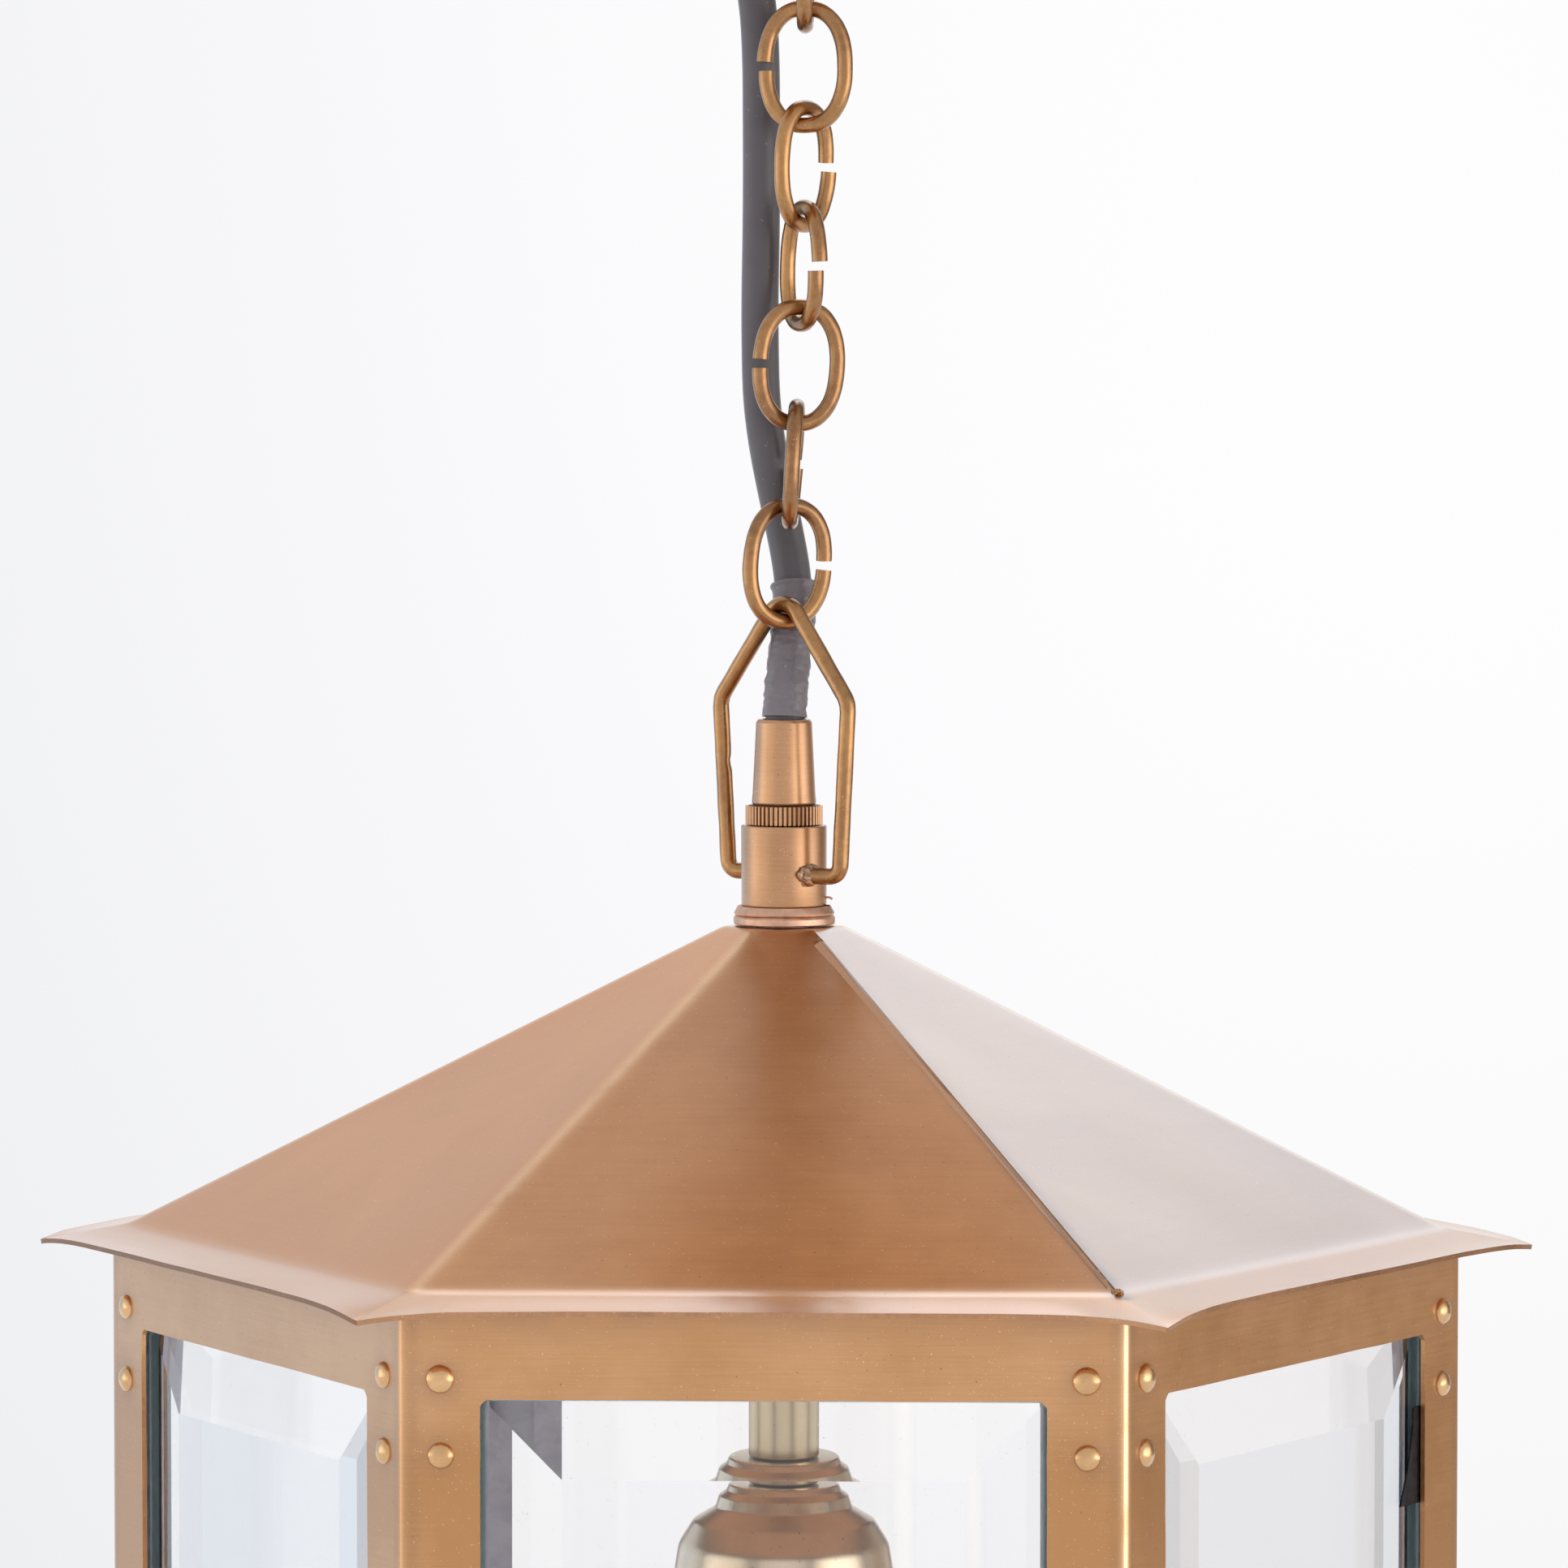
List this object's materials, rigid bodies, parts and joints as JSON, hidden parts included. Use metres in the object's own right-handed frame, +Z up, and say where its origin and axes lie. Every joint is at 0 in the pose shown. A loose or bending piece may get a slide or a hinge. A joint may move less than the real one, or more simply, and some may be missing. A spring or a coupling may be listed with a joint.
{
  "type": "hanging lantern",
  "caption": "Hexagonal antique-brass hanging lantern with bevelled glass panes, pyramid roof, link chain, cable and ceiling fitting.",
  "frame": {"origin": "middle of the ceiling fitting, on the ceiling plane", "axes": "+Z up to the ceiling, the lantern's front face looks along -Y, +X to the right of it"},
  "size_m": [0.284, 0.246, 0.539],
  "materials": {
    "antique_brass": "brushed and aged, lacquered",
    "satin_brass": "satin",
    "copper_washer": "dull reddish patina",
    "zinc_steel": "zinc plated",
    "cable_rubber": "matte",
    "white_ceramic": "glazed",
    "opal_glass": "opal",
    "clear_glass": "clear, bevelled and polished"
  },
  "bodies": {
    "ceiling_fitting": {"ceiling_bracket": "zinc_steel", "hanger_stem": "zinc_steel", "stem_nut": "zinc_steel", "canopy": "antique_brass", "cable_grommet": "cable_rubber", "canopy_ring_nut": "antique_brass", "hanger_loop": "antique_brass", "terminal_block": "white_ceramic", "cable": "cable_rubber"},
    "link_7": {"chain_link_7": "antique_brass"},
    "link_6": {"chain_link_6": "antique_brass"},
    "link_5": {"chain_link_5": "antique_brass"},
    "link_4": {"chain_link_4": "antique_brass"},
    "link_3": {"chain_link_3": "antique_brass"},
    "link_2": {"chain_link_2": "antique_brass"},
    "link_1": {"chain_link_1": "antique_brass"},
    "lantern": {"bail": "antique_brass", "collar": "antique_brass", "knurled_nut": "antique_brass", "cord_grip": "antique_brass", "cable_sleeve": "cable_rubber", "roof_gasket": "copper_washer", "top_washer": "copper_washer", "threaded_nipple": "zinc_steel", "roof": "antique_brass", "top_ring": "antique_brass", "base_ring": "antique_brass", "face_frame_1": "antique_brass", "face_frame_2": "antique_brass", "face_frame_3": "antique_brass", "face_frame_4": "antique_brass", "face_frame_5": "antique_brass", "face_frame_6": "antique_brass", "glass_pane_1": "clear_glass", "glass_pane_2": "clear_glass", "glass_pane_3": "clear_glass", "glass_pane_4": "clear_glass", "glass_pane_5": "clear_glass", "glass_pane_6": "clear_glass", "corner_post_1": "antique_brass", "corner_post_2": "antique_brass", "corner_post_3": "antique_brass", "corner_post_4": "antique_brass", "corner_post_5": "antique_brass", "corner_post_6": "antique_brass", "inner_washer": "zinc_steel", "lock_nut": "zinc_steel", "lamp_tube": "satin_brass", "lamp_cup": "satin_brass", "lampholder": "white_ceramic", "screw_shell": "satin_brass", "centre_contact": "satin_brass"},
    "bulb": {"bulb_cap": "zinc_steel", "bulb_glass": "opal_glass"}
  },
  "joints": [
    {"name": "link_7_swing", "type": "hinge", "parent": "ceiling_fitting", "child": "link_7", "pos_m": [0, 0, -0.0516], "axis": [1, 0, 0], "range_deg": [-12, 12], "deforming": ["cable"]},
    {"name": "link_6_swing", "type": "hinge", "parent": "link_7", "child": "link_6", "pos_m": [0, 0, -0.0698], "axis": [0, 1, 0], "range_deg": [-12, 12]},
    {"name": "link_5_swing", "type": "hinge", "parent": "link_6", "child": "link_5", "pos_m": [0, 0, -0.0885], "axis": [0.9986, -0.0523, 0], "range_deg": [-12, 12]},
    {"name": "link_4_swing", "type": "hinge", "parent": "link_5", "child": "link_4", "pos_m": [-0.00021, 0, -0.1072], "axis": [0.5446, 0.8387, -0.0057], "range_deg": [-12, 12]},
    {"name": "link_3_swing", "type": "hinge", "parent": "link_4", "child": "link_3", "pos_m": [-0.00081, 0, -0.1259], "axis": [0.4065, -0.9135, -0.0124], "range_deg": [-12, 12]},
    {"name": "link_2_swing", "type": "hinge", "parent": "link_3", "child": "link_2", "pos_m": [-0.00173, 0, -0.14459], "axis": [0.9602, 0.2756, -0.0454], "range_deg": [-12, 12]},
    {"name": "link_1_swing", "type": "hinge", "parent": "link_2", "child": "link_1", "pos_m": [-0.00286, 0, -0.16328], "axis": [0, 1, 0], "range_deg": [-12, 12]},
    {"name": "lantern_swing", "type": "hinge", "parent": "link_1", "child": "lantern", "pos_m": [-0.00411, 0, -0.18198], "axis": [0.9116, 0.4067, -0.0603], "range_deg": [-12, 12]},
    {"name": "bulb_turn", "type": "hinge", "parent": "lantern", "child": "bulb", "pos_m": [-0.004, 0, -0.39989], "axis": [0, 0, 1], "continuous": true}
  ]
}
